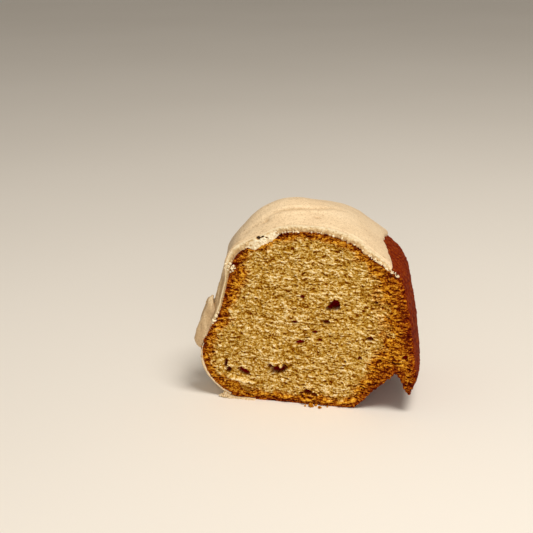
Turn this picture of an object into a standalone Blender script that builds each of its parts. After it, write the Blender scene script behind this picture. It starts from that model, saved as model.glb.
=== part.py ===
"""One slice of a glazed, fluted ring cake: the cake, its glaze, and glaze pooled under its inner foot.

Sizes are in metres. The slice stands on its base, with +Z up and +X pointing away from the ring's centre.
The two cut faces look along about -Y and +Y.
"""

import math

import bmesh
import bpy
from mathutils import Matrix, Vector

MM = 0.001

# The ring and the wedge cut from it
SLICES_IN_RING = 14
WEDGE = 2 * math.pi / SLICES_IN_RING
SECTIONS = 19

# The cut face's corners, anticlockwise from the base, each as its distance from the ring's axis, its height
# and its rounding radius, in mm
HEEL = (100.6, 0, 5)
UNDERCUT = (108.1, 8.7, 12)
NOTCH = (117.7, 17.2, 1.2)
LIP_TIP = (122.5, 7.4, 0.8)
LIP_OUTSIDE = (125.8, 14.5, 7)
OUTER_WALL = (123.4, 37, 60)
OUTER_SHOULDER = (119.6, 57.6, 9)
CROWN_OUTSIDE = (94.6, 74.2, 34)
CROWN_INSIDE = (72.5, 74.2, 22)
INNER_SHOULDER = (50.9, 63.8, 13)
INNER_WALL = (44.2, 38.5, 25)
WAIST = (35, 21.8, 8)
FOOT = (35, 0, 19.5)
CORNERS = (
    HEEL, UNDERCUT, NOTCH, LIP_TIP, LIP_OUTSIDE, OUTER_WALL, OUTER_SHOULDER,
    CROWN_OUTSIDE, CROWN_INSIDE, INNER_SHOULDER, INNER_WALL, WAIST, FOOT,
)
ARC_STEP = math.radians(13)
RUN_STEP = 3.6 * MM

# The flute: one ridge between two grooves, and the cuts run along the grooves
CROWN_RIDGE = 6.7 * MM
CROWN_RIDGE_AT = 66.5 * MM
CROWN_RIDGE_INWARD = 21.5 * MM
CROWN_RIDGE_OUTWARD = 41.5 * MM
CROWN_STARTS = 47.5 * MM
CROWN_FULL = 57.5 * MM
WALL_RIDGE = 0.5 * MM
WALL_RIDGE_STARTS = 8 * MM
WALL_RIDGE_FULL = 30 * MM

# The glaze: thicker in the grooves and on the inner wall, thinner at its outer limit, a drip beside each cut
FIT_GAP = 0.35 * MM
GLAZE = 2.4 * MM
GLAZE_OUTER_LIMIT_AT_CUT = 59 * MM
GLAZE_OUTER_LIMIT = 63 * MM
GLAZE_THICKER_IN_GROOVE = 0.4 * MM
GLAZE_THINS_FROM = 96 * MM
GLAZE_THINS_TO = 118 * MM
GLAZE_THINNER = 1.3 * MM
GLAZE_THICKER_INSIDE = 0.9 * MM
THICKER_BELOW = 58 * MM
THICKEST_BELOW = 46 * MM
GLAZE_INNER_LIMIT = 31 * MM
DRIP_LIMIT = 20.5 * MM
DRIP_AT = math.radians(8.5)
DRIP_HALF_WIDTH = math.radians(4)
DRIP_THICKER = 0.7 * MM
DRIP_TOP = 50 * MM
DRIP_FULL = 44 * MM
GLAZE_POINTS = 64
ROUNDED_END = 0.035
BLUNT_END = 0.25

# The pool of glaze that fills the wedge of space under the rounded inner foot
POOL_THIN_END = math.radians(12.5)
POOL_THICK_END = math.radians(37)
POOL_POINTS = 9
POOL_BULGE = 0.9 * MM
POOL_EDGE_POINTS = 3
POOL_EDGE_TURN = math.radians(140)

# Each node's colour
CRUMB_COLOUR = (0.5, 0.27, 0.08)
GLAZE_COLOUR = (0.9, 0.68, 0.42)
POOL_COLOUR = (0.85, 0.75, 0.58)
FOOD_ROUGHNESS = 0.8


def clear_scene():
    """Removes the start-up objects."""
    for old in list(bpy.data.objects):
        bpy.data.objects.remove(old)


def ease(value, start, end):
    """0 before start, 1 after end, and smooth between."""
    t = min(1.0, max(0.0, (value - start) / (end - start)))
    return t * t * (3 - 2 * t)


def resample(path, count):
    """The same path with count points at even spacing."""
    reach = [0.0]
    for a, b in zip(path, path[1:]):
        reach.append(reach[-1] + (b - a).length)
    even = []
    k = 0
    for i in range(count):
        want = reach[-1] * i / (count - 1)
        while k < len(path) - 2 and reach[k + 1] < want:
            k += 1
        span = reach[k + 1] - reach[k]
        even.append(path[k].lerp(path[k + 1], (want - reach[k]) / span))
    return even


def rounded_corner(before, corner, after, radius):
    """Points along the arc that rounds a corner of a polygon."""
    arriving = (corner - before).normalized()
    leaving = (after - corner).normalized()
    turn = arriving.angle_signed(leaving)
    reach = radius * math.tan(abs(turn) / 2)
    side = math.copysign(1, turn)
    centre = corner - arriving * reach + Vector((arriving.y, -arriving.x)) * side * radius
    spoke = corner - arriving * reach - centre
    steps = max(2, math.ceil(abs(turn) / ARC_STEP))
    return [centre + Matrix.Rotation(-turn * i / steps, 2) @ spoke for i in range(steps + 1)]


def cut_outline():
    """The cut face's outline as (distance from the axis, height), anticlockwise."""
    corners = [Vector((x * MM, z * MM)) for x, z, _ in CORNERS]
    n = len(corners)
    arcs = []
    for i in range(n):
        arcs.append(rounded_corner(corners[i - 1], corners[i], corners[(i + 1) % n], CORNERS[i][2] * MM))
    outline = []
    for arc, following in zip(arcs, arcs[1:] + arcs[:1]):
        outline += arc
        run = following[0] - arc[-1]
        steps = max(1, round(run.length / RUN_STEP))
        outline += [arc[-1] + run * k / steps for k in range(1, steps)]
    return outline


def outward(path, closed):
    """Unit normals that point out of an anticlockwise path."""
    n = len(path)
    normals = []
    for i in range(n):
        before = path[i - 1] if closed or i > 0 else path[i]
        after = path[(i + 1) % n] if closed or i < n - 1 else path[i]
        along = (after - before).normalized()
        normals.append(Vector((along.y, -along.x)))
    return normals


def ridge_height(point, phi):
    """How far the ridge stands out of the cut outline at this point and angle."""
    side = CROWN_RIDGE_INWARD if point.x < CROWN_RIDGE_AT else CROWN_RIDGE_OUTWARD
    across = min(1.0, abs(point.x - CROWN_RIDGE_AT) / side)
    crown = CROWN_RIDGE * math.cos(across * math.pi / 2) ** 2 * ease(point.y, CROWN_STARTS, CROWN_FULL)
    wall = WALL_RIDGE * ease(point.y, WALL_RIDGE_STARTS, WALL_RIDGE_FULL)
    return (crown + wall) * math.cos(math.pi * phi / WEDGE)


def cake_section(outline, phi):
    """The cake's outline at one angle of the wedge."""
    normals = outward(outline, closed=True)
    return [p + n * ridge_height(p, phi) for p, n in zip(outline, normals)]


def at_angle(point, phi):
    """The row-frame place of a section point, before centring."""
    return Vector((point.x * math.cos(phi), point.x * math.sin(phi), point.y))


def drip_share(phi):
    """1 in the middle of each drip, 0 between them."""
    return math.exp(-(((abs(phi) - DRIP_AT) / DRIP_HALF_WIDTH) ** 2))


def glazed_part(section, phi):
    """The stretch of a section under the glaze, from the outer shoulder over the crown to the inner wall."""
    on_ridge = math.cos(math.pi * phi / WEDGE)
    outer_limit = GLAZE_OUTER_LIMIT_AT_CUT + (GLAZE_OUTER_LIMIT - GLAZE_OUTER_LIMIT_AT_CUT) * on_ridge
    inner_limit = GLAZE_INNER_LIMIT + (DRIP_LIMIT - GLAZE_INNER_LIMIT) * drip_share(phi)
    n = len(section)
    crest = max(range(n), key=lambda i: section[i].y)
    start = crest
    while section[start].y > outer_limit:
        start -= 1
    end = crest
    while section[end % n].y > inner_limit:
        end += 1
    path = [section[i % n] for i in range(start, end + 1)]
    path[0] = clip_to(path[1], path[0], outer_limit)
    path[-1] = clip_to(path[-2], path[-1], inner_limit)
    return resample(path, GLAZE_POINTS)


def glaze_thickness(point, phi):
    """How thick the glaze is over this point of a section, before its ends are rounded."""
    in_groove = 1 - math.cos(math.pi * phi / WEDGE)
    groove = GLAZE_THICKER_IN_GROOVE * in_groove * ease(point.y, CROWN_STARTS, CROWN_FULL)
    if point.x > CROWN_RIDGE_AT:
        return GLAZE + groove - GLAZE_THINNER * ease(point.x, GLAZE_THINS_FROM, GLAZE_THINS_TO)
    inside = GLAZE_THICKER_INSIDE * (1 - ease(point.y, THICKEST_BELOW, THICKER_BELOW))
    drip = DRIP_THICKER * drip_share(phi) * (1 - ease(point.y, DRIP_FULL, DRIP_TOP))
    return GLAZE + groove + inside + drip


def clip_to(above, below, height):
    """The point between the two at the given height."""
    return above.lerp(below, (above.y - height) / (above.y - below.y))


def glaze_section(section, phi):
    """The glaze's outline at one angle: its outer face, then its inner face back."""
    path = glazed_part(section, phi)
    normals = outward(path, closed=False)
    outer = []
    inner = []
    for i, (p, n) in enumerate(zip(path, normals)):
        from_end = min(i, GLAZE_POINTS - 1 - i) / (GLAZE_POINTS - 1)
        rounding = math.sqrt(1 - (1 - min(1.0, from_end / ROUNDED_END)) ** 2)
        thickness = glaze_thickness(p, phi) * (BLUNT_END + (1 - BLUNT_END) * rounding)
        inner.append(p + n * FIT_GAP)
        outer.append(p + n * (FIT_GAP + thickness))
    return outer + inner[::-1]


def pool_section():
    """The pooled glaze's outline: under the foot, round its bulging edge, and back along its flat bottom."""
    radius = FOOT[2] * MM
    centre = Vector((FOOT[0] * MM + radius, radius))
    under = []
    for i in range(POOL_POINTS):
        angle = POOL_THIN_END + (POOL_THICK_END - POOL_THIN_END) * i / (POOL_POINTS - 1)
        under.append(centre - Vector((math.sin(angle), math.cos(angle))) * (radius + FIT_GAP))
    top = under[-1]
    edge = []
    for i in range(1, POOL_EDGE_POINTS + 1):
        down = i / POOL_EDGE_POINTS
        edge.append(Vector((top.x - POOL_BULGE * math.sin(POOL_EDGE_TURN * down), top.y * (1 - down))))
    return under + edge + [Vector((under[0].x, 0))]


def cap_with_strip(mesh, ring):
    """Closes one end of a thin section, whose second half runs back along its first."""
    n = len(ring)
    for i in range(n // 2 - 1):
        mesh.faces.new((ring[i], ring[i + 1], ring[n - 2 - i], ring[n - 1 - i]))


def loft(name, sections, angles, colour, thin=False):
    """A closed solid through outlines with the same number of points, one at each angle."""
    mesh = bmesh.new()
    rings = []
    for section, phi in zip(sections, angles):
        rings.append([mesh.verts.new(at_angle(p, phi)) for p in section])
    n = len(rings[0])
    for near, far in zip(rings, rings[1:]):
        for i in range(n):
            j = (i + 1) % n
            mesh.faces.new((near[i], near[j], far[j]))
            mesh.faces.new((near[i], far[j], far[i]))
    for end in (rings[0], rings[-1]):
        if thin:
            cap_with_strip(mesh, end)
        else:
            mesh.faces.new(end)
    bmesh.ops.triangulate(mesh, faces=[f for f in mesh.faces if len(f.verts) > 3])
    bmesh.ops.recalc_face_normals(mesh, faces=mesh.faces)
    data = bpy.data.meshes.new(name)
    mesh.to_mesh(data)
    mesh.free()
    solid = bpy.data.objects.new(name, data)
    data.materials.append(finish(name, colour))
    return solid


def finish(name, colour):
    """A plain material of its own for one node."""
    material = bpy.data.materials.new(name)
    material.use_nodes = True
    shader = material.node_tree.nodes["Principled BSDF"]
    shader.inputs["Base Color"].default_value = (*colour, 1)
    shader.inputs["Roughness"].default_value = FOOD_ROUGHNESS
    return material


def centre_on_base(solids):
    """Moves the solids together so that the middle of their box's bottom is the origin."""
    places = [v.co for solid in solids for v in solid.data.vertices]
    low = Vector([min(p[k] for p in places) for k in range(3)])
    high = Vector([max(p[k] for p in places) for k in range(3)])
    shift = Vector((-(low.x + high.x) / 2, -(low.y + high.y) / 2, -low.z))
    for solid in solids:
        for vertex in solid.data.vertices:
            vertex.co += shift


def build():
    clear_scene()
    outline = cut_outline()
    angles = [WEDGE * (i / (SECTIONS - 1) - 0.5) for i in range(SECTIONS)]
    sections = [cake_section(outline, phi) for phi in angles]
    glaze_sections = [glaze_section(s, phi) for s, phi in zip(sections, angles)]
    solids = [
        loft("cake", sections, angles, CRUMB_COLOUR),
        loft("glaze", glaze_sections, angles, GLAZE_COLOUR, thin=True),
        loft("glaze_pool", [pool_section()] * SECTIONS, angles, POOL_COLOUR),
    ]
    centre_on_base(solids)
    collection = bpy.data.collections.new("fluted_ring_cake_slice")
    bpy.context.scene.collection.children.link(collection)
    for solid in solids:
        collection.objects.link(solid)


build()
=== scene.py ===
"""Looks of one slice of a glazed, fluted ring cake: open crumb on both cuts, a browned crust and a set sugar glaze."""

import math

import bmesh
import bpy
import numpy as np
from mathutils import Matrix, Vector
from mathutils.geometry import delaunay_2d_cdt
from mathutils.kdtree import KDTree


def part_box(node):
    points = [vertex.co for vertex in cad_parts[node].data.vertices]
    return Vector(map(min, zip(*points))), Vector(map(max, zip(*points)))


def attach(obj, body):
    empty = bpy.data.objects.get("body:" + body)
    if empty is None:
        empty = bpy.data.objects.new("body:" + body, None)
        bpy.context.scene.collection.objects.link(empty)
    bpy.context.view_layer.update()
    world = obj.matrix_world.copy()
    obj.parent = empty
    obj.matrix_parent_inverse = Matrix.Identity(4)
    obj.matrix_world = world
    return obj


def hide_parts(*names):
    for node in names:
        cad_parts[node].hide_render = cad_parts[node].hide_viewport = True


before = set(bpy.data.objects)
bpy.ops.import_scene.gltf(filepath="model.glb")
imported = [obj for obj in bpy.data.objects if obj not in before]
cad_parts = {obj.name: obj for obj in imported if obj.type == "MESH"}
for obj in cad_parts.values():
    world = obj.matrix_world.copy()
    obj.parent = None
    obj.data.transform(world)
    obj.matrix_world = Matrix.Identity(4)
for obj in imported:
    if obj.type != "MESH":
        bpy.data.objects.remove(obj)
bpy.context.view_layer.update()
MM = 0.001

# The cut face's corners, anticlockwise from the base, each as its distance from the ring's axis, its height
# and its rounding radius, in mm
HEEL = (100.6, 0, 5)
UNDERCUT = (108.1, 8.7, 12)
NOTCH = (117.7, 17.2, 1.2)
LIP_TIP = (122.5, 7.4, 0.8)
LIP_OUTSIDE = (125.8, 14.5, 7)
OUTER_WALL = (123.4, 37, 60)
OUTER_SHOULDER = (119.6, 57.6, 9)
CROWN_OUTSIDE = (94.6, 74.2, 34)
CROWN_INSIDE = (72.5, 74.2, 22)
INNER_SHOULDER = (50.9, 63.8, 13)
INNER_WALL = (44.2, 38.5, 25)
WAIST = (35, 21.8, 8)
FOOT = (35, 0, 19.5)
CORNERS = (
    HEEL, UNDERCUT, NOTCH, LIP_TIP, LIP_OUTSIDE, OUTER_WALL, OUTER_SHOULDER,
    CROWN_OUTSIDE, CROWN_INSIDE, INNER_SHOULDER, INNER_WALL, WAIST, FOOT,
)
WEDGE = 2 * math.pi / 14
FRONT = -WEDGE / 2
BACK = WEDGE / 2

# The flute's ridge, in mm
CROWN_RIDGE = 6.7
CROWN_RIDGE_AT = 66.5
CROWN_RIDGE_INWARD = 21.5
CROWN_RIDGE_OUTWARD = 41.5
CROWN_STARTS = 47.5
CROWN_FULL = 57.5
WALL_RIDGE = 0.5
WALL_RIDGE_STARTS = 8
WALL_RIDGE_FULL = 30

# The glaze, in mm
GLAZE = 2.4
GLAZE_SINKS_IN = 0.25
GLAZE_OUTER_LIMIT_AT_CUT = 59
GLAZE_OUTER_LIMIT = 63
GLAZE_THICKER_IN_GROOVE = 0.7
GLAZE_THINS_FROM = 96
GLAZE_THINS_TO = 118
GLAZE_THINNER = 1.3
GLAZE_THICKER_INSIDE = 0.9
THICKER_BELOW = 58
THICKEST_BELOW = 46
GLAZE_INNER_LIMIT = 31
GLAZE_INNER_LIMIT_AT_CUT = 33
DRIP_AT = math.radians(8.5)
DRIP_HALF_WIDTH = math.radians(4)
DRIP_WIDTH = 2.5
# How far a drip stands off the wall, at shares of the way down it
DRIP_DOWN = (0, 0.06, 0.15, 0.35, 0.52, 0.72, 0.88, 0.94, 1)
DRIP_STANDS_OFF = (5.2, 5.9, 6.1, 5.6, 5.4, 4.9, 3.9, 2.6, 0.8)
DRIP_BACK = (4.3, 4.2, 3.4, -0.3, -0.3, -0.3, -0.3, -0.3, -0.3)
ROLLED_EDGE = 0.5
POOL_SHOWS = 0.022

# Mesh fineness
SKIN_STEP = 0.5
SKIN_COLUMNS = 112
FRONT_CRUMB_STEP = 0.275
BACK_CRUMB_STEP = 0.30
GLAZE_ROWS = 360
GLAZE_COLUMNS = 120
BAND_STEPS = 12


# ---------------------------------------------------------------- noise

def lattice_random(ix, iy, iz, seed):
    """A repeatable random number from 0 to 1 for each lattice point."""
    mask = np.uint64(0xFFFFFFFF)
    h = (ix.astype(np.int64).astype(np.uint64) * np.uint64(374761393)) & mask
    h = (h + iy.astype(np.int64).astype(np.uint64) * np.uint64(668265263)) & mask
    h = (h + iz.astype(np.int64).astype(np.uint64) * np.uint64(2246822519)) & mask
    h = (h + np.uint64(seed) * np.uint64(3266489917)) & mask
    h = ((h ^ (h >> np.uint64(13))) * np.uint64(1274126177)) & mask
    h = ((h ^ (h >> np.uint64(16))) * np.uint64(2246822519)) & mask
    return ((h ^ (h >> np.uint64(15))) & np.uint64(0xFFFFFF)).astype(float) / 0xFFFFFF


def noise(x, y, z, seed):
    """Smooth gradient noise from about -1 to 1, with features about one unit wide."""
    x, y, z = np.broadcast_arrays(*(np.asarray(v, float) for v in (x, y, z)))
    cell = [np.floor(v) for v in (x, y, z)]
    frac = [v - c for v, c in zip((x, y, z), cell)]
    fade = [f**3 * (f * (f * 6 - 15) + 10) for f in frac]
    total = np.zeros(x.shape)
    for corner in range(8):
        step = [(corner >> k) & 1 for k in range(3)]
        at = [c + s for c, s in zip(cell, step)]
        dot = sum((2 * lattice_random(*at, seed + 17 * k) - 1) * (frac[k] - step[k]) for k in range(3))
        weight = 1.0
        for k in range(3):
            weight = weight * (fade[k] if step[k] else 1 - fade[k])
        total += dot * weight
    return total * 1.6


def ease(value, start, end):
    """0 before start, 1 after end, and smooth between."""
    t = np.clip((value - start) / (end - start), 0, 1)
    return t * t * (3 - 2 * t)


# ---------------------------------------------------------------- the wedge, in mm from the ring's axis

def rounded_corner(before, corner, after, radius, step):
    """Points along the arc that rounds a corner of a polygon."""
    arriving = (corner - before).normalized()
    leaving = (after - corner).normalized()
    turn = arriving.angle_signed(leaving)
    reach = radius * math.tan(abs(turn) / 2)
    side = math.copysign(1, turn)
    centre = corner - arriving * reach + Vector((arriving.y, -arriving.x)) * side * radius
    spoke = corner - arriving * reach - centre
    steps = max(3, math.ceil(abs(turn) * radius / step))
    return [centre + Matrix.Rotation(-turn * i / steps, 2) @ spoke for i in range(steps + 1)]


def cut_outline(step):
    """The cut face's outline as rows of (distance from the axis, height), anticlockwise, step apart or closer."""
    corners = [Vector(c[:2]) for c in CORNERS]
    n = len(corners)
    arcs = [
        rounded_corner(corners[i - 1], corners[i], corners[(i + 1) % n], CORNERS[i][2], step) for i in range(n)
    ]
    path = []
    for arc, following in zip(arcs, arcs[1:] + arcs[:1]):
        path += arc
        run = following[0] - arc[-1]
        steps = max(1, round(run.length / step))
        path += [arc[-1] + run * k / steps for k in range(1, steps)]
    return np.array(path)


def path_normals(path, closed=True):
    """Unit normals that point out of an anticlockwise path."""
    if closed:
        along = np.roll(path, -1, axis=0) - np.roll(path, 1, axis=0)
    else:
        along = np.gradient(path, axis=0)
    along /= np.linalg.norm(along, axis=1, keepdims=True)
    return np.stack([along[:, 1], -along[:, 0]], axis=1)


def ridge_height(path, phi):
    """How far the flute's ridge stands out of the cut outline."""
    x, z = path[:, 0], path[:, 1]
    reach = np.where(x < CROWN_RIDGE_AT, CROWN_RIDGE_INWARD, CROWN_RIDGE_OUTWARD)
    across = np.clip(np.abs(x - CROWN_RIDGE_AT) / reach, 0, 1)
    crown = CROWN_RIDGE * np.cos(across * math.pi / 2) ** 2 * ease(z, CROWN_STARTS, CROWN_FULL)
    wall = WALL_RIDGE * ease(z, WALL_RIDGE_STARTS, WALL_RIDGE_FULL)
    return (crown + wall) * math.cos(math.pi * phi / WEDGE)


def section(phi):
    """The cake's outline at one angle of the wedge."""
    return OUTLINE + NORMALS * ridge_height(OUTLINE, phi)[:, None]


OUTLINE = cut_outline(SKIN_STEP)
NORMALS = path_normals(OUTLINE)
ANGLES = np.linspace(FRONT, BACK, SKIN_COLUMNS)
AXIS_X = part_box("cake")[1].x / MM - max(section(phi)[:, 0].max() * math.cos(phi) for phi in ANGLES)


def place(path, phi):
    """Row-frame points, in mm, of section points at an angle of the wedge."""
    return np.stack([AXIS_X + path[:, 0] * np.cos(phi), path[:, 0] * np.sin(phi), path[:, 1]], axis=1)


def cut_direction(phi):
    """The way a cut face looks."""
    return np.array([math.sin(phi), -math.cos(phi), 0]) * (1 if phi < 0 else -1)


# ---------------------------------------------------------------- crumb relief on a cut face

# Holes in the front face: distance from the axis, height, half width, half height, tilt in degrees, depth, all in mm
FRONT_HOLES = (
    (92.3, 44.0, 2.6, 2.3, 38, 4.6),
    (90.4, 42.6, 1.9, 1.0, 15, 3.6),
    (88.9, 36.7, 1.6, 0.9, 8, 2.6),
    (79.1, 46.7, 1.1, 0.8, 0, 1.6),
    (75.8, 35.7, 1.4, 0.6, 0, 1.6),
    (84.1, 31.9, 1.3, 0.6, 5, 1.4),
    (77.8, 27.2, 2.1, 0.9, 12, 1.3),
    (86.4, 28.6, 1.0, 0.6, 0, 1.2),
    (106.8, 30.9, 1.5, 0.9, 5, 2.2),
    (109.2, 46.3, 0.8, 0.7, 0, 2.0),
    (102.8, 22.3, 0.9, 0.7, 0, 1.6),
    (111.0, 21.7, 0.8, 0.7, 0, 1.8),
    (106.6, 11.3, 1.2, 0.8, -10, 1.8),
    (121.0, 24.0, 1.3, 1.0, 20, 1.6),
    (40.5, 19.7, 0.9, 0.5, 25, 1.8),
    (52.0, 59.0, 2.9, 0.5, 10, 1.4),
    (45.8, 15.0, 0.8, 2.2, -8, 3.2),
    (47.0, 12.4, 1.2, 1.4, -20, 3.4),
    (53.6, 12.2, 2.8, 1.4, -26, 2.4),
    (65.2, 15.3, 1.3, 1.0, -30, 3.4),
    (68.2, 13.9, 3.3, 1.7, 3, 3.8),
    (71.3, 15.6, 1.1, 1.3, 30, 3.4),
    (80.9, 5.4, 2.0, 1.2, -8, 3.4),
    (83.6, 4.6, 1.7, 0.8, -14, 2.4),
    (78.4, 4.9, 1.2, 0.5, 20, 1.2),
    (96.6, 20.2, 0.7, 0.5, 0, 1.5),
    (114.0, 32.2, 0.8, 0.6, 0, 1.6),
)
# Raised torn bits: distance from the axis, height, half width, half height, tilt, lift
FRONT_LIFTS = (
    (66.6, 17.4, 2.9, 1.2, -16, 1.6),
    (69.6, 15.9, 1.2, 0.9, -10, 1.3),
    (73.4, 18.4, 1.8, 0.8, 20, 0.8),
    (48.2, 9.4, 2.4, 1.0, -16, 2.1),
    (51.6, 8.9, 3.4, 1.1, -12, 1.9),
    (56.6, 7.8, 3.6, 0.8, -8, 1.4),
    (93.0, 47.6, 3.2, 0.8, 4, 0.5),
    (80.0, 2.0, 3.0, 0.9, 0, 0.9),
    (88.5, 2.2, 3.0, 1.0, 6, 1.0),
    (72.0, 2.4, 2.4, 0.8, 10, 0.7),
    (95.5, 2.6, 2.2, 1.2, 20, 0.9),
    (100.0, 3.4, 1.8, 1.3, 30, 0.8),
)
BACK_HOLES = (
    (61.0, 40.5, 2.0, 1.6, -20, 3.2),
    (97.5, 52.0, 1.7, 1.2, 10, 2.6),
    (84.0, 21.5, 2.4, 1.3, -6, 3.0),
    (72.5, 56.5, 1.0, 0.8, 0, 1.8),
    (107.5, 38.0, 1.1, 0.9, 0, 1.8),
    (52.5, 24.0, 1.6, 0.8, 15, 2.0),
    (92.0, 8.5, 2.8, 1.0, 5, 2.2),
    (66.0, 12.0, 1.0, 0.8, 0, 1.6),
    (101.5, 25.5, 0.9, 0.7, 0, 1.6),
)
BACK_LIFTS = ((84.0, 24.2, 2.6, 1.0, 8, 0.9), (60.0, 43.6, 2.0, 0.8, -12, 0.6))


def blob(x, z, centre_x, centre_z, half_w, half_h, tilt, wobble):
    """Distance from an oval's middle, 1 on its edge, with an uneven edge."""
    a = math.radians(tilt)
    u = (x - centre_x) * math.cos(a) + (z - centre_z) * math.sin(a)
    v = -(x - centre_x) * math.sin(a) + (z - centre_z) * math.cos(a)
    return np.hypot(u / half_w, v / half_h) * (1 + wobble)


def crumb_relief(x, z, holes, lifts, seed):
    """The crumb's height over the cut plane in mm, how pale it is from 0 to 1, and how far down a hole from 0 to 1; the
    paleness follows the height as painted light on raised grains and flaps and painted shade in tears and pits.
    """
    warp_x = x + 1.0 * noise(x / 4.5, z / 3, 0.5, seed)
    warp_z = z + 0.9 * noise(x / 5, z / 3.4, 9.5, seed) + 0.16 * noise(x / 1.9, z / 1.5, 11.5, seed)
    coarse = noise(x / 8, z / 5, 2.5, seed + 1)
    layers = noise(warp_x / 3.0, warp_z / 0.66, 5.5, seed + 8)
    folds = noise(warp_x / 1.5, warp_z / 0.60, 1.5, seed + 2)
    grains = noise(warp_x / 0.78, warp_z / 0.46, 3.5, seed + 3)
    fine = noise(warp_x / 0.5, warp_z / 0.36, 4.5, seed + 4)
    tears = ease(noise(warp_x / 2.4, warp_z / 0.9, 7.5, seed + 5), 0.52, 0.85)
    pits = ease(noise(warp_x / 1.2, warp_z / 0.8, 17.5, seed + 6), 0.52, 0.9)
    height = 0.20 * coarse + 0.26 * layers + 0.36 * folds + 0.30 * grains + 0.16 * fine - 0.5 * tears - 0.4 * pits
    # Paleness follows the same noises as the height: painted light on the raised grains, painted shade in the tears and
    # pits.
    lit_pale = 0.53 + 0.05 * coarse + 0.26 * layers + 0.32 * folds + 0.32 * grains + 0.24 * fine - 0.38 * tears - 0.3 * pits
    wobble = 0.20 * noise(x / 1.5, z / 1.5, 6.5, seed + 7)
    for cx, cz, w, h, tilt, lift in lifts:
        raised = 1 - ease(blob(x, z, cx, cz, w, h, tilt, wobble), 0.35, 1.15)
        height += lift * raised
        # Painted light: raised torn bits are painted paler.
        lit_pale += 0.3 * raised
    # The hole share paints each hole near-black red in the crumb material, as painted shade.
    hole = np.zeros(x.shape)
    for cx, cz, w, h, tilt, depth in holes:
        inside = 1 - ease(blob(x, z, cx, cz, w, h, tilt, wobble), 0.62, 1.05)
        height = height * (1 - 0.6 * inside) - depth * inside
        hole = np.maximum(hole, inside)
    return height, np.clip(lit_pale, 0, 1), hole


def skin_relief(points):
    """Height of the crust over its smooth form, in mm."""
    x, y, z = points.T
    broad = noise(x / 6, y / 6, z / 6, 40)
    bumps = noise(x / 2.0, y / 2.0, z / 2.0, 41)
    fine = noise(x / 0.95, y / 0.95, z / 0.95, 42)
    return 0.22 * broad + 0.25 * bumps + 0.24 * fine


# ---------------------------------------------------------------- meshes

def make_piece(name, points, faces, attributes, material, closed=True):
    """A mesh object from points in mm, with float attributes that its material reads; closed shells face outwards."""
    mesh = bpy.data.meshes.new(name)
    mesh.from_pydata((np.asarray(points) * MM).tolist(), [], [list(f) for f in faces])
    if closed:
        shell = bmesh.new()
        shell.from_mesh(mesh)
        bmesh.ops.recalc_face_normals(shell, faces=shell.faces)
        shell.to_mesh(mesh)
        shell.free()
    for key, values in attributes.items():
        layer = mesh.attributes.new(key, "FLOAT", "POINT")
        layer.data.foreach_set("value", np.asarray(values, np.float32))
    mesh.materials.append(material)
    mesh.shade_smooth()
    piece = bpy.data.objects.new(name, mesh)
    bpy.context.scene.collection.objects.link(piece)
    return piece


def grid_faces(rows, columns, close_rows):
    """Quads over a grid of points stored row by row."""
    r = np.arange(rows if close_rows else rows - 1)
    c = np.arange(columns - 1)
    rr, cc = np.meshgrid(r, c, indexing="ij")
    nxt = (rr + 1) % rows
    quads = np.stack([rr * columns + cc, nxt * columns + cc, nxt * columns + cc + 1, rr * columns + cc + 1], axis=-1)
    return quads.reshape(-1, 4)


def shell_faces(rows, columns):
    """Quads of a closed shell: an outer grid, then an inner grid of the same size, and the strips that join their edges."""
    n = rows * columns
    outer = grid_faces(rows, columns, close_rows=False)
    parts = [outer, outer[:, ::-1] + n]
    grid = np.arange(n).reshape(rows, columns)
    for edge, flip in ((grid[0], False), (grid[-1], True), (grid[:, 0], True), (grid[:, -1], False)):
        quads = np.stack([edge[:-1], edge[1:], edge[1:] + n, edge[:-1] + n], axis=1)
        parts.append(quads[:, ::-1] if flip else quads)
    return np.concatenate(parts)


def inside_outline(points, outline):
    """Which points lie inside a closed outline."""
    crossings = np.zeros(len(points), int)
    for a, b in zip(outline, np.roll(outline, -1, axis=0)):
        if a[1] == b[1]:
            continue
        spans = (points[:, 1] >= min(a[1], b[1])) & (points[:, 1] < max(a[1], b[1]))
        at = a[0] + (points[:, 1] - a[1]) * (b[0] - a[0]) / (b[1] - a[1])
        crossings += spans & (at > points[:, 0])
    return crossings % 2 == 1


def nearest(targets, points):
    """Distance from each point to the nearest target, and that target's index."""
    tree = KDTree(len(targets))
    for i, p in enumerate(targets):
        tree.insert((*p, 0) if len(p) == 2 else p, i)
    tree.balance()
    found = [tree.find((*p, 0) if len(p) == 2 else p) for p in points]
    return np.array([f[2] for f in found]), np.array([f[1] for f in found])


# ---------------------------------------------------------------- cake

EDGE_REACH = 1.6


def browned_width(rim):
    """How deep the crumb is browned behind each rim point, in mm."""
    x, z = rim.T
    width = 4.9 + 0 * x
    width += 8.0 * ease(x, 102, 118)
    width += 1.1 * (1 - ease(x, 44, 56))
    width += 2.6 * (1 - ease(x, 50, 60)) * ease(z, 44, 56)
    width += 0.8 * (1 - ease(z, 3, 10))
    return width


def crumbliness(distance, height):
    """How ragged the cut's rim is: most at the heel, the notch and the lip's inside."""
    low = 1 - ease(height, 16, 26)
    return 0.18 + 0.52 * low * ease(distance, 80, 94) + 0.18 * ease(distance, 112, 118)


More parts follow.
